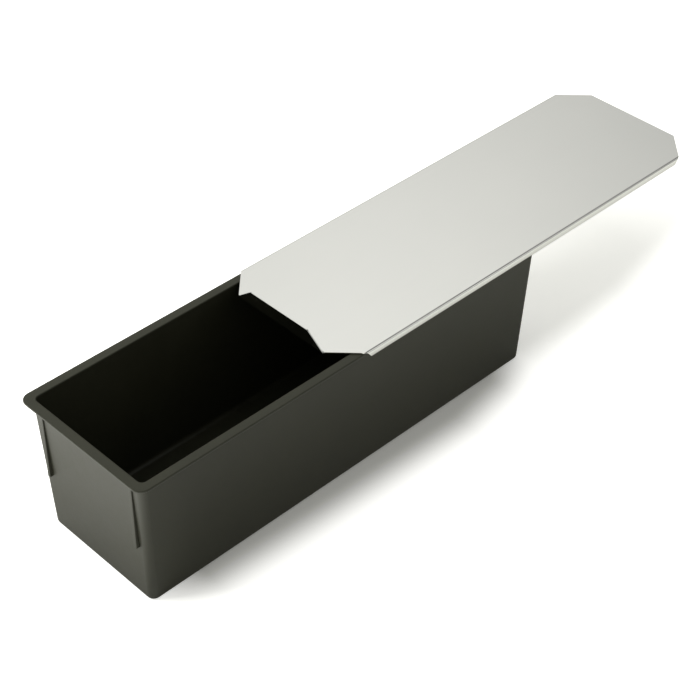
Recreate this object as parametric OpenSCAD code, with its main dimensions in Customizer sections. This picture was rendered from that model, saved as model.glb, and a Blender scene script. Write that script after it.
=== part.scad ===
// Lidded loaf pan: a one-piece moulded pan and a folded sheet lid that slides along its rim.
// X runs along the pan, towards the end where the lid slides off. Z is up.
// The origin is the middle of the pan's flat underside.

/* [Pan] */
// Length over the rim
pan_length = 400; // [300:1:480]
// Width over the rim
pan_width = 130.4; // [110:0.1:160]
// Height from the underside to the top of the rim
pan_height = 117.3; // [90:0.1:140]
// Thickness of the walls
wall_t = 2.1; // [1.8:0.1:3]
// Thickness of the floor
floor_t = 2.6; // [2:0.1:4]
// Lean of the two end walls from upright, in degrees
end_draft = 2; // [1:0.1:4]
// Lean of the two long walls from upright, in degrees
side_draft = 2; // [1:0.1:4]
// Outside radius of the four upright corners
corner_r = 6; // [5:0.5:9]
// Radius of the edge around the underside
base_edge_r = 3; // [1.5:0.5:4]
// Radius where the walls meet the floor inside
floor_fillet_r = 3.4; // [1.5:0.1:3.6]

/* [Rim] */
// Width of the rim, from its outer edge to the mouth
rim_width = 7.6; // [7:0.1:10]
// Thickness of the rim
rim_t = 2.2; // [2:0.1:3]
// Radius of the rim's four outer corners
rim_corner_r = 8; // [6:0.5:12]
// Radius of the rounding along the rim's outer edge
rim_edge_r = 0.9; // [0.4:0.1:0.9]
// Radius of the hollow where the rim's underside meets the wall
rim_fillet_r = 4; // [2:0.2:4.4]
// Radius of the mouth's four corners
mouth_corner_r = 4; // [3.8:0.1:6]
// Radius of the rounding along the mouth's edge
mouth_edge_r = 0.8; // [0.4:0.1:1.2]

/* [Stacking ribs] */
// Thickness of a rib
rib_t = 2.8; // [1.6:0.1:3.6]
// Distance from the rim's long outer edge to the middle of a rib
rib_side_inset = 17.6; // [15:0.1:40]
// Length of a rib below the rim
rib_length = 62.9; // [30:0.1:70]
// How far a rib stands out from the wall at its top
rib_proud = 0.6; // [0.4:0.1:3]
// Radius of a rib's upright edges
rib_edge_r = 0.5; // [0.2:0.1:0.7]

/* [Lid] */
// Thickness of the lid's sheet
sheet_t = 1; // [0.6:0.1:1.5]
// Inside radius of every bend in the sheet
bend_r = 0.8; // [0.5:0.1:1]
// How far the closed lid stands past the rim's outer edge at each end
lid_overhang = 1.8; // [0:0.1:5]
// Gap between the rim's outer edge and each side of the lid
lid_side_gap = 0.4; // [0.3:0.1:1.2]
// Gap between the rim's top and the lid
lid_top_gap = 0.25; // [0.2:0.05:0.6]
// Gap between the rim's underside and the lid's turned-in lips
lip_gap = 2.1; // [0.4:0.1:3]
// Gap between the tip of a lip and the pan
lip_wall_gap = 0.9; // [0.5:0.1:2]
// Size of the corners clipped off the lid at 45 degrees
corner_clip = 22.9; // [15:0.1:30]
// Height of the finger tab above the lid
tab_height = 12.4; // [8:0.1:20]
// How far each side of the tab slopes in towards its top
tab_slope = 14; // [5:0.1:20]
// Lean of the tab away from the lid, in degrees
tab_lean = 3.5; // [0:0.5:20]
// Radius of the tab's two upper corners
tab_corner_r = 1.2; // [0.5:0.1:3]
// How far the lid is drawn out from its closed place
lid_out = 183; // [0:0.1:200]

/* [Hidden] */

// Steps in each upright corner and in each rounded edge of the pan
corner_steps = 10;
edge_steps = 4;
fillet_steps = 5;
// Smoothness of the lid's bends, and how far a cutter reaches past what it cuts
$fn = 48;
over = 6;

// Heights and insets of the pan, all measured from its rim
rim_under_z = pan_height - rim_t;
wall_inset = rim_width - wall_t;
rim_round = min(rim_edge_r, rim_t / 2 - 0.05);
mouth_round = min(mouth_edge_r, rim_t / 2);
flare_round = min(rim_fillet_r, wall_inset - rim_round);

// Lid: the sheet rests over the rim and its sides hook under it
lid_length = pan_length + 2 * lid_overhang;
half_w = pan_width / 2 + lid_side_gap + sheet_t;
lid_under_z = pan_height + lid_top_gap;
lid_top_z = lid_under_z + sheet_t;
lip_top_z = rim_under_z - lip_gap;
lip_under_z = lip_top_z - sheet_t;
side_h = lid_top_z - lip_under_z;
outer_bend_r = bend_r + sheet_t;
bend_length = 90 * PI / 180 * (bend_r + sheet_t / 2);
flat_side_h = side_h - 2 * outer_bend_r;

// A lip ends short of the wall and of the fillet above it
fillet_rise = max(0, flare_round - lip_gap);
fillet_reach = flare_round - sqrt(flare_round ^ 2 - fillet_rise ^ 2);
lip_tip_y = pan_width / 2 - wall_inset + fillet_reach + lip_wall_gap;

// Where the lid lies along the pan
lid_x0 = lid_out - lid_length / 2;
lid_x1 = lid_out + lid_length / 2;

// Distance from the rim's outer edge to the outside and the inside of a wall, at a height
function outer_inset(z, draft) = wall_inset + (pan_height - z) * tan(draft);
function inner_inset(z, draft) = rim_width + (pan_height - z) * tan(draft);

// Angles of an arc, from one to the other in equal steps
function angles(from, to, steps) = [for (i = [0:steps]) from + (to - from) * i / steps];

// Corner radius under the rim, which grows from the wall's to the rim's
function flare_r(inset) = rim_corner_r + (corner_r - rim_corner_r) * inset / wall_inset;

// A level of the pan: inset at the ends, inset at the sides, corner radius and height
base_levels = [
    for (a = angles(-90, -side_draft, edge_steps))
        let (
            shift = base_edge_r * (1 - cos(a))
        )
        [
            outer_inset(base_edge_r, end_draft) + shift,
            outer_inset(base_edge_r, side_draft) + shift,
            corner_r - shift,
            base_edge_r + base_edge_r * sin(a)
        ]
];

flare_levels = [
    for (a = angles(side_draft, 90, fillet_steps))
        let (
            centre_z = rim_under_z - flare_round,
            out = flare_round * (1 - cos(a)),
            end_inset = outer_inset(centre_z, end_draft) - out
        )
        [end_inset, outer_inset(centre_z, side_draft) - out, flare_r(end_inset), centre_z + flare_round * sin(a)]
];

rim_edge_levels = [
    for (half = [0, 1], a = angles(-90 + 90 * half, 90 * half, edge_steps - 1))
        let (
            inset = rim_round * (1 - cos(a)),
            centre_z = half == 0 ? rim_under_z + rim_round : pan_height - rim_round
        )
        [inset, inset, rim_corner_r - inset, centre_z + rim_round * sin(a)]
];

mouth_levels = [
    for (a = angles(90, side_draft, edge_steps - 1))
        let (
            centre_z = pan_height - mouth_round,
            out = mouth_round * (1 - cos(a))
        )
        [
            inner_inset(centre_z, end_draft) - out,
            inner_inset(centre_z, side_draft) - out,
            mouth_corner_r + out,
            centre_z + mouth_round * sin(a)
        ]
];

floor_levels = [
    for (a = angles(side_draft, 90, fillet_steps))
        let (
            centre_z = floor_t + floor_fillet_r,
            shift = floor_fillet_r * (1 - cos(a))
        )
        [
            inner_inset(centre_z, end_draft) + shift,
            inner_inset(centre_z, side_draft) + shift,
            mouth_corner_r - shift,
            centre_z - floor_fillet_r * sin(a)
        ]
];

pan_levels = concat(base_levels, flare_levels, rim_edge_levels, mouth_levels, floor_levels);

// Points of one level: a rounded rectangle, anticlockwise from above
function level_points(level) =
    let (
        r = level[2],
        mid_x = pan_length / 2 - level[0] - r,
        mid_y = pan_width / 2 - level[1] - r
    )
    [
        for (quarter = [0:3], a = angles(90 * quarter, 90 * quarter + 90, corner_steps))
            let (
                side_x = quarter == 0 || quarter == 3 ? 1 : -1,
                side_y = quarter < 2 ? 1 : -1
            )
            [side_x * mid_x + r * cos(a), side_y * mid_y + r * sin(a), level[3]]
    ];

// Skin lofted through all levels: up the outside, over the rim, down the inside
module pan_shell() {
    count = 4 * (corner_steps + 1);
    last = len(pan_levels) - 1;
    points = [for (level = pan_levels) each level_points(level)];
    band_faces = [
        for (k = [0:last - 1], i = [0:count - 1])
            let (
                j = (i + 1) % count,
                low = k * count,
                high = low + count
            )
            each [[low + i, high + i, high + j], [low + i, high + j, low + j]]
    ];
    base_face = [for (i = [0:count - 1]) i];
    floor_face = [for (i = [0:count - 1]) last * count + count - 1 - i];
    polyhedron(points, concat(band_faces, [base_face, floor_face]));
}

// One stacking rib on the end wall at -X: an upright outer face, deeper towards its flat foot
module stacking_rib() {
    foot_z = rim_under_z - rib_length;
    top_z = rim_under_z + rim_t / 2;
    face_x = outer_inset(rim_under_z, end_draft) - rib_proud - pan_length / 2;
    foot_root_x = outer_inset(foot_z, end_draft) + wall_t / 2 - pan_length / 2;
    top_root_x = outer_inset(top_z, end_draft) + wall_t / 2 - pan_length / 2;
    intersection() {
        rotate([90, 0, 0])
            linear_extrude(rib_t, center = true)
                polygon([[face_x, foot_z], [foot_root_x, foot_z], [top_root_x, top_z], [face_x, top_z]]);
        translate([face_x, -rib_t / 2, foot_z])
            linear_extrude(top_z - foot_z)
                rounded_bar(foot_root_x - face_x + over, rib_t, rib_edge_r);
    }
}

// Plan of a bar along X with its two corners at X = 0 rounded
module rounded_bar(length, width, r) {
    translate([r, 0])
        square([length, width]);
    translate([0, r])
        square([length, width - 2 * r]);
    for (y = [r, width - r])
        translate([r, y])
            circle(r);
}

// Pan: drafted walls, rim with a flared underside, and two stacking ribs on each end
module pan() {
    rib_y = pan_width / 2 - rib_side_inset;
    color([0.25, 0.26, 0.22])
        union() {
            pan_shell();
            for (end = [0, 1], side = [-1, 1])
                mirror([end, 0, 0])
                    translate([0, side * rib_y, 0])
                        stacking_rib();
        }
}

// Quarter ring of sheet, from the +X side of its centre to the +Y side
module bend_arc() {
    intersection() {
        difference() {
            circle(outer_bend_r);
            circle(bend_r);
        }
        square(outer_bend_r + over);
    }
}

// Folded cross-section, drawn as across and up: flat top, bent sides and turned-in lips
module lid_section() {
    bend_y = half_w - outer_bend_r;
    translate([-bend_y, lid_under_z])
        square([2 * bend_y, sheet_t]);
    for (side = [0, 1])
        mirror([side, 0]) {
            translate([bend_y, lid_top_z - outer_bend_r])
                bend_arc();
            translate([half_w - sheet_t, lip_under_z + outer_bend_r])
                square([sheet_t, flat_side_h]);
            translate([bend_y, lip_under_z + outer_bend_r])
                mirror([0, 1])
                    bend_arc();
            translate([lip_tip_y, lip_under_z])
                square([bend_y - lip_tip_y, sheet_t]);
        }
}

// What the 45 degree clip of the flat blank removes from one folded corner.
// The corner is at the origin, the lid lies towards +X and -Y, and its top face is at Z = 0.
module corner_cutter() {
    // Where the clip line meets the side and the lip, along the unfolded blank
    side_x = corner_clip - outer_bend_r + bend_length;
    lip_x = side_x + flat_side_h + bend_length;
    // Through the top
    translate([0, 0, -side_h - over])
        linear_extrude(side_h + 2 * over)
            polygon([[-over, -corner_clip - over], [corner_clip + over, over], [-over, over]]);
    // Down the side
    translate([side_x, over, -outer_bend_r])
        rotate([90, 0, 0])
            linear_extrude(outer_bend_r + over)
                polygon([[-side_h, side_h], [side_h, -side_h], [-side_h, -side_h]]);
    // In along the lip
    translate([lip_x, -outer_bend_r, -side_h - over])
        linear_extrude(outer_bend_r + over)
            polygon([[-lip_x, 0], [0, 0], [rim_width, -rim_width], [-lip_x, -rim_width]]);
}

// Finger tab, bent up from the straight part of the leading edge
module finger_tab() {
    bend_mid_z = lid_under_z + outer_bend_r;
    root_half = half_w - corner_clip + outer_bend_r;
    top_half = half_w - corner_clip - tab_slope;
    intersection() {
        // Side view of the bend and the upright, extruded across the lid
        rotate([90, 0, 0])
            linear_extrude(2 * root_half, center = true)
                translate([lid_x0 + outer_bend_r, bend_mid_z])
                    tab_section();
        // Front view: a trapezoid with rounded upper corners
        translate([lid_x0 - over, 0, 0])
            rotate([90, 0, 90])
                linear_extrude(outer_bend_r + over)
                    tab_front(root_half, top_half);
    }
}

// Side view of the tab about the middle of its bend: the bend, then a leaning upright
module tab_section() {
    reach = 2 * outer_bend_r;
    intersection() {
        difference() {
            circle(outer_bend_r);
            circle(bend_r);
        }
        polygon([[0, 0], [-reach, -reach * tan(tab_lean)], [-reach, -reach], [0, -reach]]);
    }
    rotate(tab_lean)
        translate([-outer_bend_r, 0])
            square([sheet_t, 2 * tab_height]);
}

// Front view of the tab, drawn as across and up
module tab_front(root_half, top_half) {
    top_z = lid_top_z + tab_height;
    // Along the slope, how far the rounding of an upper corner reaches
    slope_angle = atan2(tab_height, root_half - top_half);
    corner_x = top_half - tab_corner_r * tan(slope_angle / 2);
    union() {
        difference() {
            polygon([
                [-root_half, lid_under_z - over],
                [root_half, lid_under_z - over],
                [root_half, lid_top_z],
                [top_half, top_z],
                [-top_half, top_z],
                [-root_half, lid_top_z]
            ]);
            for (side = [0, 1])
                mirror([side, 0])
                    translate([corner_x, top_z - tab_corner_r])
                        square(2 * tab_corner_r);
        }
        for (side = [-1, 1])
            translate([side * corner_x, top_z - tab_corner_r])
                circle(tab_corner_r);
    }
}

// Lid: folded channel section, clipped corners and a finger tab at the leading end
module lid() {
    color([0.84, 0.84, 0.82])
        difference() {
            union() {
                translate([lid_x0 + outer_bend_r, 0, 0])
                    rotate([90, 0, 90])
                        linear_extrude(lid_length - outer_bend_r)
                            lid_section();
                finger_tab();
            }
            for (end = [0, 1], side = [0, 1])
                translate([end == 0 ? lid_x0 : lid_x1, side == 0 ? half_w : -half_w, lid_top_z])
                    mirror([end, 0, 0])
                        mirror([0, side, 0])
                            corner_cutter();
        }
}

pan();
lid();
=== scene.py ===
# %% [markdown]
# # A lidded loaf pan
# The object is two pieces: a dark moulded pan and a folded stainless lid that slides along the
# pan's rim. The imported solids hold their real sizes. This lesson models both pieces again with
# the soft edges and finishes that a camera sees, and lights them as in a plain studio.

import math

import bmesh
import bpy
from mathutils import Matrix, Vector


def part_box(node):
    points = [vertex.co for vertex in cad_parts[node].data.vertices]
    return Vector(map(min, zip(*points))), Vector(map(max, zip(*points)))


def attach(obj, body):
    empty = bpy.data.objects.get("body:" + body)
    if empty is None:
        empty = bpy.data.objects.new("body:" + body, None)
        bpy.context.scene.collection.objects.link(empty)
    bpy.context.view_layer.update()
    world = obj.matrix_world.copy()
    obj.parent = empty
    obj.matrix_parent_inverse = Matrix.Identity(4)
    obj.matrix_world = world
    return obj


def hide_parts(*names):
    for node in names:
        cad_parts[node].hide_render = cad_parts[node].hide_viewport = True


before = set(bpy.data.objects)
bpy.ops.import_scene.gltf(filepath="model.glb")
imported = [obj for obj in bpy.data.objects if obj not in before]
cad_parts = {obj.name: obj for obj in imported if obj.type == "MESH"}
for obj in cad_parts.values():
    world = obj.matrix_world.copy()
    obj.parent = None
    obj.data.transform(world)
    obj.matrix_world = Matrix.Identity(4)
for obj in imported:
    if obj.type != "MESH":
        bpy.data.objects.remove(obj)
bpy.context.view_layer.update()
print("nodes:", sorted(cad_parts))

# %% [markdown]
# ## Sizes
# Blender works in metres, so one millimetre is named once and every size is written with it.
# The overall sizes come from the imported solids. Only the small ones, such as wall thickness and
# radii, are written here, and they repeat the ones that the solids were made with.

# %% Sizes from the frame
MM = 0.001
pan_low, pan_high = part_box("pan")
lid_low, lid_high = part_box("lid")

LENGTH = pan_high.x - pan_low.x
WIDTH = pan_high.y - pan_low.y
HEIGHT = pan_high.z
print(f"pan {LENGTH / MM:.1f} x {WIDTH / MM:.1f} x {HEIGHT / MM:.1f} mm")

# %% Sizes of the pan's details
WALL = 2.1 * MM
FLOOR = 2.6 * MM
END_DRAFT = math.radians(2)
SIDE_DRAFT = math.radians(2)
CORNER_R = 6 * MM
BASE_EDGE_R = 3 * MM
FLOOR_FILLET_R = 3.4 * MM

RIM_WIDTH = 7.6 * MM
RIM_T = 2.2 * MM
RIM_CORNER_R = 8 * MM
RIM_EDGE_R = 0.9 * MM
RIM_FILLET_R = 4 * MM
MOUTH_CORNER_R = 4 * MM
MOUTH_EDGE_R = 0.8 * MM

RIM_UNDER = HEIGHT - RIM_T
WALL_INSET = RIM_WIDTH - WALL


def outer_half(z):
    """Half the pan's outside length and width at a height."""
    depth = HEIGHT - z
    return (
        LENGTH / 2 - WALL_INSET - depth * math.tan(END_DRAFT),
        WIDTH / 2 - WALL_INSET - depth * math.tan(SIDE_DRAFT),
    )


def inner_half(z):
    """Half the cavity's length and width at a height."""
    across, along = outer_half(z)
    return across - WALL, along - WALL


print("outside at the floor:", [round(2000 * half, 1) for half in outer_half(0)], "mm")

# %% [markdown]
# ## Working in edit mode from a script
# By hand, one would click an edge and press a key. A script says which edges it means by their
# place, so three small helpers do the clicking: one opens a piece for editing, one picks parts of
# it with a rule, and one closes it again. Everything is deselected first, because an operator
# acts on all that is selected. Two rules serve most of the time: level parts at a height, and
# upright edges.

# %% Open a piece, pick parts of it and close it


def choose(piece):
    """Select a piece, and nothing else."""
    bpy.ops.object.select_all(action="DESELECT")
    piece.select_set(True)
    bpy.context.view_layer.objects.active = piece


def open_piece(piece, mode="EDGE"):
    choose(piece)
    bpy.ops.object.mode_set(mode="EDIT")
    bpy.ops.mesh.select_mode(type=mode)
    bpy.ops.mesh.select_all(action="DESELECT")


def close_piece():
    bpy.ops.object.mode_set(mode="OBJECT")


def pick(piece, kind, rule):
    """Select the verts, edges or faces whose corner points all pass the rule, and nothing else."""
    mesh = bmesh.from_edit_mesh(piece.data)
    for group in (mesh.verts, mesh.edges, mesh.faces):
        for item in group:
            item.select = False
    chosen = 0
    for item in getattr(mesh, kind):
        corners = [item.co] if kind == "verts" else [v.co for v in item.verts]
        if rule(corners):
            item.select = True
            chosen += 1
    mesh.select_flush_mode()
    bmesh.update_edit_mesh(piece.data)
    return chosen


# %% Two rules for picking
CLOSE = 0.02 * MM
SHORTEST_UPRIGHT = 1 * MM


def at_height(z):
    """A rule for parts that lie level at a height."""
    return lambda corners: all(abs(co.z - z) < CLOSE for co in corners)


def upright(corners):
    """A rule for edges that run between two heights."""
    return abs(corners[0].z - corners[1].z) > SHORTEST_UPRIGHT


print(f"parts within {CLOSE / MM:.2f} mm of a height are picked with it")

# %% [markdown]
# ## The pan's body
# The real pan is moulded in one shot, and its walls lean outwards so that it leaves the mould.
# A block does the same: it starts as a cube of the size that the body has at its top, and its
# underside is then scaled in to the smaller outline at the floor. Both the outside and the
# cavity are such a block, so one function makes either of them.

# %% Add a block and round its edges


def new_block(name, middle, size):
    """Add a cube of a size, with its place in its mesh."""
    bpy.ops.object.select_all(action="DESELECT")
    bpy.ops.mesh.primitive_cube_add(size=1, location=middle)
    block = bpy.context.object
    block.name = name
    block.scale = size
    bpy.ops.object.transform_apply(location=True, rotation=False, scale=True)
    return block


def bevel(radius, segments):
    bpy.ops.mesh.bevel(offset=radius, segments=segments, affect="EDGES", clamp_overlap=False)


def faces_of(piece):
    return len(piece.data.polygons)


# %% A block with leaning walls
CORNER_STEPS = 12
EDGE_STEPS = 5


def leaning_block(name, low, high, half_at, corner_r, base_r):
    top_x, top_y = half_at(high)
    base_x, base_y = half_at(low)
    block = new_block(name, (0, 0, (low + high) / 2), (2 * top_x, 2 * top_y, high - low))
    # Draw the underside in, so that the walls lean
    open_piece(block, "FACE")
    pick(block, "faces", at_height(low))
    bpy.ops.transform.resize(value=(base_x / top_x, base_y / top_y, 1), center_override=(0, 0, low))
    # Round the four upright corners, then the edge around the underside
    bpy.ops.mesh.select_mode(type="EDGE")
    pick(block, "edges", upright)
    bevel(corner_r, CORNER_STEPS)
    pick(block, "edges", at_height(low))
    bevel(base_r, EDGE_STEPS)
    close_piece()
    return block


pan = leaning_block("pan_body", 0, HEIGHT - RIM_T / 2, outer_half, CORNER_R, BASE_EDGE_R)
print("body block:", faces_of(pan), "faces")

# %% [markdown]
# ## The rim
# The rim is a flat band that stands out all round the mouth. It could be extruded from the top of
# the body, but its corners are rounder than the body's, so a slab of its own is simpler: a cube,
# with its upright corners rounded first and its long outer edges after. A union then makes one
# skin of the two, as the mould does.

# %% The rim's slab
RIM_STEPS = 4

rim = new_block("rim_slab", (0, 0, HEIGHT - RIM_T / 2), (LENGTH, WIDTH, RIM_T))

open_piece(rim)
pick(rim, "edges", upright)
bevel(RIM_CORNER_R, CORNER_STEPS)
for z in (RIM_UNDER, HEIGHT):
    pick(rim, "edges", at_height(z))
    bevel(RIM_EDGE_R, RIM_STEPS)
close_piece()
print("rim slab:", faces_of(rim), "faces")

# %% Join the rim to the body


def finish_with(piece, kind, name, **settings):
    """Add a modifier to a piece and apply it."""
    choose(piece)
    modifier = piece.modifiers.new(name, kind)
    for key, value in settings.items():
        setattr(modifier, key, value)
    bpy.ops.object.modifier_apply(modifier=name)


def combine(piece, tool, operation):
    """Join a piece with another or cut it by another, and delete the tool."""
    finish_with(piece, "BOOLEAN", "combine", object=tool, operation=operation, solver="EXACT")
    bpy.data.objects.remove(tool)


combine(pan, rim, "UNION")
print("body with rim:", faces_of(pan), "faces")

# %% [markdown]
# ## The hollow under the rim
# In the photograph the wall doesn't meet the rim at a sharp inner corner. It flares into it. That
# is a bevel on the edge where the two meet. A bevel on an inner corner adds material instead of
# taking it away, which gives the fillet.

# %% Flare the wall into the rim
FLARE_STEPS = 6


def wall_meets_rim(corners):
    reach_x = LENGTH / 2 - WALL_INSET / 2
    reach_y = WIDTH / 2 - WALL_INSET / 2
    inside = all(abs(co.x) < reach_x and abs(co.y) < reach_y for co in corners)
    return inside and at_height(RIM_UNDER)(corners)


open_piece(pan)
found = pick(pan, "edges", wall_meets_rim)
bevel(RIM_FILLET_R, FLARE_STEPS)
close_piece()
print("flared", found, "edges")

# %% [markdown]
# ## The stacking ribs
# Two upright ribs stand on each end wall, close to the corners. They keep stacked pans from
# wedging into each other. A rib's outer face is upright, so it stands out further towards its
# foot, where the wall has leaned away from it. One rib is modelled at its place, and the other
# three are its mirror images.

# %% Sizes and places of the ribs
RIB_T = 2.8 * MM
RIB_SIDE_INSET = 17.6 * MM
RIB_LENGTH = 62.9 * MM
RIB_PROUD = 0.6 * MM
RIB_EDGE_R = 0.5 * MM
RIB_STEPS = 3

rib_top = HEIGHT - RIM_T / 2
rib_foot = RIM_UNDER - RIB_LENGTH
rib_face = outer_half(RIM_UNDER)[0] + RIB_PROUD
rib_y = WIDTH / 2 - RIB_SIDE_INSET


def wall_middle(z):
    """Distance from the pan's middle to the middle of an end wall's thickness."""
    return outer_half(z)[0] - WALL / 2


print(f"ribs from z = {rib_foot / MM:.1f} to {rib_top / MM:.1f} mm, {rib_y / MM:.1f} mm off centre")

# %% Model one rib on the end at +X
rib_depth = rib_face - wall_middle(rib_top)
rib = new_block(
    "stacking_rib",
    (rib_face - rib_depth / 2, rib_y, (rib_foot + rib_top) / 2),
    (rib_depth, RIB_T, rib_top - rib_foot),
)

open_piece(rib)
pick(rib, "edges", lambda c: at_height(rib_foot)(c) and all(co.x < rib_face - CLOSE for co in c))
bpy.ops.transform.translate(value=(wall_middle(rib_foot) - wall_middle(rib_top), 0, 0))
pick(rib, "edges", lambda c: upright(c) and all(co.x > rib_face - CLOSE for co in c))
bevel(RIB_EDGE_R, RIB_STEPS)
close_piece()
print(f"rib: {(rib_face - outer_half(rib_foot)[0]) / MM:.2f} mm deep at its foot")

# %% Copy it to the four places and join them to the pan
for side_x, side_y in ((1, 1), (1, -1), (-1, 1), (-1, -1)):
    copy = bpy.data.objects.new(f"rib_{side_x}_{side_y}", rib.data.copy())
    bpy.context.scene.collection.objects.link(copy)
    copy.data.transform(Matrix.Diagonal((side_x, side_y, 1, 1)))
    if side_x * side_y < 0:
        copy.data.flip_normals()
    combine(pan, copy, "UNION")
bpy.data.objects.remove(rib)
print("pan with ribs:", faces_of(pan), "faces")

# %% [markdown]
# ## The cavity
# The inside follows the outside at the thickness of the wall. It is cut last, with a second
# leaning block that reaches a little above the rim so that the cut is clean. The mouth's edge
# then gets the small rounding that catches the light along it.

# %% Cut the cavity
ABOVE = 3 * MM
cavity = leaning_block(
    "cavity", FLOOR, HEIGHT + ABOVE, inner_half, MOUTH_CORNER_R, FLOOR_FILLET_R
)
combine(pan, cavity, "DIFFERENCE")
print("hollow pan:", faces_of(pan), "faces")

# %% Round the mouth's edge
mouth_x, mouth_y = inner_half(HEIGHT)


def on_mouth(corners):
    near = all(abs(co.x) < mouth_x + CLOSE and abs(co.y) < mouth_y + CLOSE for co in corners)
    return near and at_height(HEIGHT)(corners)


open_piece(pan)
found = pick(pan, "edges", on_mouth)
bevel(MOUTH_EDGE_R, RIM_STEPS)
close_piece()
print("rounded", found, "edges of the mouth")

# %% [markdown]
# ## A smooth skin
# The moulded pan has no facets. Faces that meet at a small angle are shaded as one smooth
# surface, and weighted normals keep the large walls flat beside their narrow roundings, which
# shading alone wouldn't.

# %% Smooth the skin
SMOOTH_BELOW = math.radians(35)


def smooth(piece):
    choose(piece)
    bpy.ops.object.shade_smooth_by_angle(angle=SMOOTH_BELOW)
    modifier = piece.modifiers.new("weighted", "WEIGHTED_NORMAL")
    modifier.keep_sharp = True
    bpy.ops.object.modifier_apply(modifier=modifier.name)


smooth(pan)
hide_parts("pan")
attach(pan, "pan")
print("pan finished:", faces_of(pan), "faces")

# %% [markdown]
# ## The lid's blank
# The lid is folded from one flat sheet, so it is modelled the same way: a plane of the lid's
# outline with its corners clipped, then sides, lips and tab extruded from its edges, then the
# folds rounded, and the thickness given last. The plane is the sheet's upper face.

# %% Sizes of the lid
SHEET = 1 * MM
BEND_R = 0.8 * MM
CLIP = 22.9 * MM
TAB_HEIGHT = 12.4 * MM
TAB_SLOPE = 14 * MM
TAB_LEAN = math.radians(3.5)
TAB_CORNER_R = 1.2 * MM
LIP_WALL_GAP = 0.9 * MM
LIP_GAP = 2.1 * MM

LID_TOP = lid_high.z - TAB_HEIGHT
LID_HALF_W = lid_high.y
LID_FAR = lid_high.x
LID_LEAD = lid_low.x + (TAB_HEIGHT + SHEET) * math.tan(TAB_LEAN)
LIP_UNDER = lid_low.z
OUTER_BEND_R = BEND_R + SHEET
print(f"lid from x = {LID_LEAD / MM:.1f} to {LID_FAR / MM:.1f} mm, top at {LID_TOP / MM:.2f} mm")

# %% Cut the blank with its clipped corners
fold_x = LID_LEAD + SHEET
bpy.ops.object.select_all(action="DESELECT")
bpy.ops.mesh.primitive_plane_add(size=1, location=((fold_x + LID_FAR) / 2, 0, LID_TOP))
lid = bpy.context.object
lid.name = "lid_sheet"
lid.scale = (LID_FAR - fold_x, 2 * LID_HALF_W, 1)
bpy.ops.object.transform_apply(location=True, rotation=False, scale=True)

open_piece(lid, "VERT")
pick(lid, "verts", lambda c: c[0].x > fold_x + CLOSE)
bpy.ops.mesh.bevel(offset=CLIP, segments=1, affect="VERTICES")
pick(lid, "verts", lambda c: c[0].x < fold_x + CLOSE)
bpy.ops.mesh.bevel(offset=CLIP - SHEET, segments=1, affect="VERTICES")
close_piece()
print("blank:", len(lid.data.vertices), "corners")

# %% [markdown]
# ## Folding the sides, the lips and the tab
# The straight 45 degree clip was made in the flat sheet. Once the side is folded down, the same
# cut shows as a slope on the side and again on the lip, so each new edge is shorter at both ends
# by as much as it goes down or in. The tab is folded the other way, up, and narrows to its top.

# %% Fold the long sides down and their lips in
side_h = LID_TOP - LIP_UNDER
bend_saves = 2 * OUTER_BEND_R - math.pi / 2 * (BEND_R + SHEET / 2)
side_slope = side_h - bend_saves
fillet_rise = RIM_FILLET_R - LIP_GAP
fillet_reach = RIM_FILLET_R - math.sqrt(RIM_FILLET_R**2 - fillet_rise**2)
lip_tip = WIDTH / 2 - WALL_INSET + fillet_reach + LIP_WALL_GAP
lip_w = LID_HALF_W - lip_tip
lid_mid = (LID_LEAD + LID_FAR) / 2
side_long = LID_FAR - LID_LEAD - 2 * CLIP


def pull_edge(side, move, from_long, to_long):
    """Extrude the selected long edge by a move, and shorten the new edge about the lid's middle."""
    bpy.ops.mesh.extrude_edges_move(TRANSFORM_OT_translate={"value": move})
    bpy.ops.transform.resize(
        value=(to_long / from_long, 1, 1), center_override=(lid_mid, side * LID_HALF_W, LIP_UNDER)
    )


open_piece(lid)
for side in (1, -1):
    pick(lid, "edges", lambda c: all(side * co.y > LID_HALF_W - CLOSE for co in c))
    pull_edge(side, (0, 0, -side_h), side_long, side_long - 2 * side_slope)
    lip_long = side_long - 2 * (side_slope + lip_w - bend_saves)
    pull_edge(side, (0, -side * lip_w, 0), side_long - 2 * side_slope, lip_long)
close_piece()
print(f"sides {side_h / MM:.2f} mm deep, lips {lip_w / MM:.2f} mm wide")

# %% Fold the finger tab up
root_half = LID_HALF_W - CLIP + SHEET
tip_half = LID_HALF_W - CLIP - TAB_SLOPE

open_piece(lid)
pick(lid, "edges", lambda c: all(co.x < fold_x + CLOSE for co in c))
bpy.ops.mesh.extrude_edges_move(
    TRANSFORM_OT_translate={"value": (-TAB_HEIGHT * math.tan(TAB_LEAN), 0, TAB_HEIGHT)}
)
bpy.ops.transform.resize(value=(1, tip_half / root_half, 1), center_override=(fold_x, 0, LID_TOP))
# Round the tab's two upper corners
bpy.ops.mesh.select_mode(type="VERT")
pick(lid, "verts", lambda c: c[0].z > LID_TOP + TAB_HEIGHT - CLOSE)
bpy.ops.mesh.bevel(offset=TAB_CORNER_R, segments=4, affect="VERTICES")
close_piece()
print(f"tab {2 * root_half / MM:.1f} mm wide at its root, {2 * tip_half / MM:.1f} mm at its top")

# %% [markdown]
# ## Rounding the folds and giving the sheet its thickness
# A press brake leaves a small radius at every fold. On the sides the upper face is the outside of
# the fold, so its radius is the bend's own radius plus the sheet. On the tab the upper face is
# the inside of the fold. Solidify then grows the sheet away from the upper face.

# %% Round the folds
SIDE_FOLD_STEPS = 6
TAB_FOLD_STEPS = 5

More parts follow.
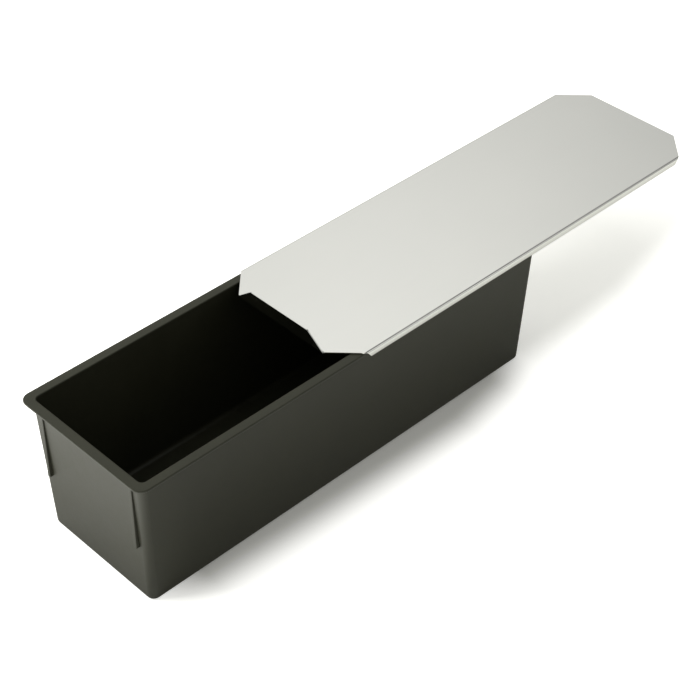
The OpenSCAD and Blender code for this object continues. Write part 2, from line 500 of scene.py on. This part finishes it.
open_piece(lid)
for height in (LID_TOP, LIP_UNDER):
    pick(
        lid,
        "edges",
        lambda c: at_height(height)(c) and all(abs(co.y) > LID_HALF_W - CLOSE for co in c),
    )
    bevel(OUTER_BEND_R, SIDE_FOLD_STEPS)
pick(lid, "edges", lambda c: at_height(LID_TOP)(c) and all(co.x < fold_x + CLOSE for co in c))
bevel(BEND_R, TAB_FOLD_STEPS)
close_piece()
print("folded sheet:", faces_of(lid), "faces")

# %% Give the sheet its thickness and ease its cut edges
EASED_EDGE = 0.12 * MM
CUT_EDGE_ANGLE = math.radians(60)

finish_with(
    lid,
    "SOLIDIFY",
    "sheet",
    thickness=SHEET,
    offset=-1,
    use_even_offset=True,
    use_quality_normals=True,
)
finish_with(
    lid,
    "BEVEL",
    "eased_edges",
    width=EASED_EDGE,
    segments=2,
    limit_method="ANGLE",
    angle_limit=CUT_EDGE_ANGLE,
)
smooth(lid)
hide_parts("lid")
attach(lid, "lid")
low = Vector([min(v.co[i] for v in lid.data.vertices) for i in range(3)])
high = Vector([max(v.co[i] for v in lid.data.vertices) for i in range(3)])
print("lid box in mm:", [round(v / MM, 2) for v in low], [round(v / MM, 2) for v in high])

# %% [markdown]
# ## Shader maths in Python
# A procedural finish is a sum of patterns. Written as nodes by hand, each plus and times is a
# node to place and wire. The first class below wraps a socket so that ordinary Python signs add
# those Math nodes. The second holds the nodes of one finish, and one of its methods makes any
# other node from its type, settings and inputs.

# %% A socket that takes part in sums


class Signal:
    def __init__(self, finish, socket):
        self.finish = finish
        self.socket = socket

    def _maths(self, operation, first, second):
        return self.finish.node("ShaderNodeMath", {"operation": operation}, {0: first, 1: second})

    def __add__(self, other):
        return self._maths("ADD", self, other)

    def __sub__(self, other):
        return self._maths("SUBTRACT", self, other)

    def __rsub__(self, other):
        return self._maths("SUBTRACT", other, self)

    def __mul__(self, other):
        return self._maths("MULTIPLY", self, other)

    def __pow__(self, other):
        return self._maths("POWER", self, other)

    def __rpow__(self, other):
        return self._maths("POWER", other, self)

    __radd__ = __add__
    __rmul__ = __mul__


class Finish:
    """The nodes of a material, or of the world, added by code."""

    def __init__(self, owner):
        self.owner = owner
        owner.use_nodes = True
        self.tree = owner.node_tree
        self.tree.nodes.clear()

    def node(self, kind, settings=None, inputs=None, output=0):
        made = self.tree.nodes.new(kind)
        for key, value in (settings or {}).items():
            if key == "stops":
                stops = made.color_ramp.elements
                while len(stops) < len(value):
                    stops.new(0.5)
                for stop, (place, grey) in zip(stops, value):
                    stop.position = place
                    stop.color = (grey, grey, grey, 1)
            else:
                setattr(made, key, value)
        for key, value in (inputs or {}).items():
            if isinstance(value, Signal):
                self.tree.links.new(value.socket, made.inputs[key])
            else:
                made.inputs[key].default_value = value
        return Signal(self, made.outputs[output]) if made.outputs else None

    def place(self, scale):
        """Object coordinates, stretched by a scale along each axis."""
        here = self.node("ShaderNodeTexCoord", output="Object")
        return self.node("ShaderNodeMapping", {}, {"Vector": here, "Scale": scale})

    def noise(self, scale, detail, stretch=(1, 1, 1)):
        return self.node(
            "ShaderNodeTexNoise",
            {},
            {"Vector": self.place(stretch), "Scale": scale, "Detail": detail},
        )

    def blend(self, share, first, second):
        """Mix two colours by a share from 0 to 1."""
        return self.node(
            "ShaderNodeMix",
            {"data_type": "RGBA"},
            {"Factor": share, 6: first, 7: second},
            output=2,
        )

    def bump(self, height, distance, strength):
        return self.node(
            "ShaderNodeBump", {}, {"Height": height, "Distance": distance, "Strength": strength}
        )

    def ramp(self, value, start, end):
        """A soft step from 0 at start to 1 at end."""
        return self.node(
            "ShaderNodeMapRange",
            {"interpolation_type": "SMOOTHSTEP"},
            {"Value": value, "From Min": start, "From Max": end},
        )

    def vector(self, operation, inputs, output="Vector"):
        return self.node("ShaderNodeVectorMath", {"operation": operation}, inputs, output)

    def scaled(self, colour, strength):
        """A colour times a strength."""
        return self.vector("SCALE", {"Vector": colour, "Scale": strength})

    def surface(self, inputs):
        shader = self.node("ShaderNodeBsdfPrincipled", {}, inputs)
        self.node("ShaderNodeOutputMaterial", {}, {"Surface": shader})
        return self.owner


print("signs that add nodes: + - * **")

# %% [markdown]
# ## The pan's composite
# The pan is a filled moulding compound: a dark olive grey with a fine satin skin. Close up it has
# a slight mottle where the compound flowed, and an even, very fine grain from the mould. So the
# colour swings only a little between two olives, and the mottle and the grain are a bump of a few
# hundredths of a millimetre. The noises go from a wide flow down to the grain.

# %% The composite finish
OLIVE_DARK = (0.022, 0.0226, 0.0128, 1)
OLIVE_LIGHT = (0.0294, 0.03, 0.0176, 1)
SKIN_RELIEF = 0.06 * MM

composite = Finish(bpy.data.materials.new("moulded_composite"))
flow = composite.noise(22, detail=4, stretch=(1, 1, 0.45))
cloud = composite.noise(95, detail=4)
mottle = composite.noise(300, detail=3)
grain = composite.noise(2600, detail=2)
tint = composite.blend(
    composite.node(
        "ShaderNodeValToRGB",
        {"stops": [(0.35, 0.0), (0.65, 1.0)]},
        {"Fac": 0.45 * flow + 0.35 * cloud + 0.2 * mottle},
    ),
    OLIVE_DARK,
    OLIVE_LIGHT,
)
composite_roughness = 0.36 + 0.06 * flow + 0.08 * cloud + 0.06 * mottle
skin = composite.bump(0.3 * cloud + 0.4 * mottle + 0.3 * grain, SKIN_RELIEF, 0.5)
pan.data.materials.clear()
pan.data.materials.append(
    composite.surface(
        {
            "Base Color": tint,
            "Roughness": composite_roughness,
            "Specular IOR Level": 0.42,
            "Normal": skin,
        }
    )
)
print("composite nodes:", len(composite.tree.nodes))

# %% [markdown]
# ## The lid's stainless sheet
# The sheet has a smooth satin mill finish: a metal that mirrors the room, slightly blurred. Its
# rolling grain runs along the lid, so the noise is stretched along X, and it only stirs the
# roughness and a very shallow bump. Wide patches change the tone a little.

# %% The steel finish
STEEL = (0.80, 0.80, 0.775, 1)
STEEL_SHADE = (0.755, 0.757, 0.735, 1)
ROLLING_RELIEF = 0.004 * MM

steel = Finish(bpy.data.materials.new("satin_stainless"))
rolling = steel.noise(900, detail=3, stretch=(0.02, 1, 1))
patches = steel.noise(14, detail=2)
steel_tint = steel.blend(patches, STEEL_SHADE, STEEL)
steel_roughness = 0.13 + 0.06 * rolling + 0.03 * patches
steel_skin = steel.bump(rolling, ROLLING_RELIEF, 0.35)
lid.data.materials.clear()
lid.data.materials.append(
    steel.surface(
        {
            "Base Color": steel_tint,
            "Metallic": 1.0,
            "Roughness": steel_roughness,
            "Normal": steel_skin,
        }
    )
)
print("steel nodes:", len(steel.tree.nodes))

# %% [markdown]
# ## The camera
# The photograph's straight edges give its viewpoint: the camera stands off the pan's near corner
# and looks down at about forty degrees through a longish lens. The values are a real place in
# metres and three angles, so the render lines up with the photograph.

# %% Place the camera
CAMERA_PLACE = Vector((-0.66407, -0.71811, 0.90158))
AZIMUTH = math.radians(-44.968)
ELEVATION = math.radians(39.909)
ROLL = math.radians(0.780)
LENS = 89.298
SENSOR = 36

# The camera's own three directions: back towards the viewer, right and up
back = Vector(
    (
        math.sin(AZIMUTH) * math.cos(ELEVATION),
        -math.cos(AZIMUTH) * math.cos(ELEVATION),
        math.sin(ELEVATION),
    )
)
level = Vector((math.cos(AZIMUTH), math.sin(AZIMUTH), 0))
above = back.cross(level)
right = level * math.cos(ROLL) + above * math.sin(ROLL)
up = above * math.cos(ROLL) - level * math.sin(ROLL)

camera_data = bpy.data.cameras.new("camera")
camera = bpy.data.objects.new("camera", camera_data)
bpy.context.scene.collection.objects.link(camera)
camera_data.lens = LENS
camera_data.sensor_width = SENSOR
camera_data.clip_end = 20
camera.matrix_world = Matrix(
    (
        (right.x, up.x, back.x, CAMERA_PLACE.x),
        (right.y, up.y, back.y, CAMERA_PLACE.y),
        (right.z, up.z, back.z, CAMERA_PLACE.z),
        (0, 0, 0, 1),
    )
)
bpy.context.scene.camera = camera
print("camera", [round(v, 3) for v in camera.location], "lens", LENS)

# %% [markdown]
# ## The floor
# The object stands on a white table, a real surface that takes its shadow. In a studio, the table
# is lit to pure white all round, which would put more light on the object than a plain level. So
# this one glows instead, and only for some rays. The camera sees a glow that is faint along the
# pan's foot and grows with the distance from it, which paints the soft grey shadow there over the
# real one. Past the pan's far end the glow is held low where the lid overhangs: a painted shadow
# of the lid, which stays in place when the lid slides. Glossy surfaces see a glow past the pan's
# left end and far out at its sides, a painted reflection that the end wall and the folded edge of
# the lid mirror from the table.

# %% The floor's plane
FLOOR_SIZE = 12
bpy.ops.object.select_all(action="DESELECT")
bpy.ops.mesh.primitive_plane_add(size=FLOOR_SIZE, location=(0, 0, 0))
floor = bpy.context.object
floor.name = "studio_floor"
print("floor", FLOOR_SIZE, "m square")

# %% How far a place on the floor is along the pan and out from its middle
table_top = Finish(bpy.data.materials.new("white_table"))
spot = table_top.node("ShaderNodeTexCoord", output="Object")
along = table_top.node("ShaderNodeSeparateXYZ", {}, {"Vector": spot}, output="X")
outwards = table_top.vector("ABSOLUTE", {0: spot})
side_gap = table_top.node("ShaderNodeSeparateXYZ", {}, {"Vector": outwards}, output="Y")


def along_pan(stops):
    """A value that changes along X, from stops of (place in mm, value)."""
    first, last = stops[0][0], stops[-1][0]
    share = table_top.node(
        "ShaderNodeMapRange", {}, {"Value": along, "From Min": first * MM, "From Max": last * MM}
    )
    placed = [((x - first) / (last - first), value) for x, value in stops]
    return table_top.node("ShaderNodeValToRGB", {"stops": placed}, {"Fac": share})


print("floor places are read from", len(table_top.tree.nodes), "nodes")

# %% How clear of the painted shadow of the pan and the lid a place is
# The painted shadow: how far out it reaches along the pan, and past the far end the lid's shadow
SHADOW_REACH = 42 * MM
SHADOW_FADES = (21.5 * MM, 61 * MM)
PAINTED_SHADOW_WIDTH = [
    (-200, 0.67),
    (-150, 0.8),
    (-50, 0.9),
    (100, 1),
    (150, 0.81),
    (185, 0.57),
    (260, 0.55),
    (320, 0.48),
    (380, 0.19),
    (440, 0),
]
PAST_THE_ENDS = [
    (-200, 1),
    (-146, 0),
    (155, 0),
    (190, 0.4),
    (260, 0.36),
    (350, 0.4),
    (380, 0.41),
    (440, 0.6),
    (500, 1),
]
shadow_edge = SHADOW_REACH * along_pan(PAINTED_SHADOW_WIDTH)
beside = table_top.ramp(side_gap - shadow_edge, *SHADOW_FADES)
clear = 1 - (1 - beside) * (1 - along_pan(PAST_THE_ENDS))
print(f"where it is widest, the shadow ends {(SHADOW_REACH + SHADOW_FADES[1]) / MM:.0f} mm out")

# %% What the floor shows to each kind of ray
left_of_pan = table_top.ramp(along, -200 * MM, -320 * MM)
further_out = table_top.ramp(side_gap, 110 * MM, 200 * MM)
# The camera's glow is held low near the pan, which paints its shadow on the table
seen_glow_with_painted_shadow = 0.08 + 0.75 * clear
# Glossy rays see a painted reflection: a glow off the pan's left end and far out at its sides
painted_reflection_glow = 0.03 + 1.3 * left_of_pan + 0.43 * further_out
SEEN_TINT = (1, 1, 0.99, 1)
MIRRORED_TINT = (1, 1, 0.94, 1)
TABLE_PAINT = (0.86, 0.86, 0.81, 1)

camera_ray = table_top.node("ShaderNodeLightPath", output="Is Camera Ray")
glossy_ray = table_top.node("ShaderNodeLightPath", output="Is Glossy Ray")
glow = camera_ray * seen_glow_with_painted_shadow + glossy_ray * painted_reflection_glow
glow_tint = table_top.blend(camera_ray, MIRRORED_TINT, SEEN_TINT)
lift = table_top.node("ShaderNodeEmission", {}, {"Color": table_top.scaled(glow_tint, glow)})
paint = table_top.node("ShaderNodeBsdfDiffuse", {}, {"Color": TABLE_PAINT})
both = table_top.node("ShaderNodeAddShader", {}, {0: lift, 1: paint})
table_top.node("ShaderNodeOutputMaterial", {}, {"Surface": both})
floor.data.materials.append(table_top.owner)
print("table nodes:", len(table_top.tree.nodes))

# %% [markdown]
# ## The room
# A steel lid shows the room more than itself, so the room has to have something in it. A picture
# of a studio could do it, but a few soft windows worked out from the direction are plainer and
# give the same result each time. Each is a bright spot with a soft edge, and one is a dark one.
# The camera itself sees plain white.

# %% Soft windows in the world's light
room = Finish(bpy.data.worlds.new("studio"))
bpy.context.scene.world = room.owner
direction = room.node("ShaderNodeTexCoord", output="Generated")


def soft_window(azimuth, height, sharpness, strength):
    """Light from a part of the room. Azimuth 0 is towards -X, and 90 is towards +Y."""
    turn, rise = math.radians(180 - azimuth), math.radians(height)
    towards = (math.cos(turn) * math.cos(rise), math.sin(turn) * math.cos(rise), math.sin(rise))
    facing = room.vector("DOT_PRODUCT", {0: direction, 1: towards}, output="Value")
    forward = room.node("ShaderNodeMath", {"operation": "MAXIMUM"}, {0: facing, 1: 0})
    return strength * forward**sharpness


room_light = (
    0.28
    # High over the left, for the floor and the rim
    + soft_window(45, 71, 10, 0.84)
    # Behind, in two parts that the lid's top mirrors
    + soft_window(90, 28, 22, 0.75)
    + soft_window(135, 42, 22, 0.76)
    # The bright line along the lid's fold, and the dark one beside it
    + soft_window(-130, 33, 40, 0.95)
    + soft_window(180, 57, 32, -0.3)
    # Low on the left and in front, for the lid from the other sides
    + soft_window(0, 20, 14, 0.3)
    + soft_window(-90, 20, 14, 0.3)
)
print("room nodes:", len(room.tree.nodes))

# %% What the room shows to each kind of ray
WHITE = (1, 1, 1, 1)
ROOM_TINT = (1, 1, 0.965, 1)

seen = room.node("ShaderNodeLightPath", output="Is Camera Ray")
strength = room_light * (1 - seen) + seen
tone = room.blend(seen, ROOM_TINT, WHITE)
backdrop = room.node("ShaderNodeBackground", {}, {"Color": room.scaled(tone, strength)})
room.node("ShaderNodeOutputWorld", {}, {"Surface": backdrop})
print("room nodes with its background:", len(room.tree.nodes))

# %% [markdown]
# ## The lamps
# The left end of the pan is its brightest face and the long side its darkest, so a small soft
# lamp stands off the left end. A wider one stands behind, and draws the shadow to the front. The
# lid would mirror either lamp as a square of pure white, so glossy rays don't see them: the
# room's soft windows stand in for their reflections.

# %% Two soft lamps


def soft_lamp(name, place, aim, size, power):
    data = bpy.data.lights.new(name, "AREA")
    data.shape = "SQUARE"
    data.size = size
    data.energy = power
    lamp = bpy.data.objects.new(name, data)
    lamp.visible_camera = False
    lamp.visible_glossy = False
    bpy.context.scene.collection.objects.link(lamp)
    lamp.location = place
    lamp.rotation_mode = "QUATERNION"
    lamp.rotation_quaternion = (Vector(aim) - Vector(place)).to_track_quat("-Z", "Y")


soft_lamp("left_lamp", (-0.62, 0.34, 0.64), aim=(-0.15, 0, 0.08), size=0.3, power=4.3)
soft_lamp("back_lamp", (0, 0.70, 0.45), aim=(0, 0, 0.08), size=0.5, power=2.4)

# %% [markdown]
# ## Last steps
# The view transform is plain, so that colours render about as they are written.

# %% Finish
bpy.context.scene.view_settings.view_transform = "Standard"
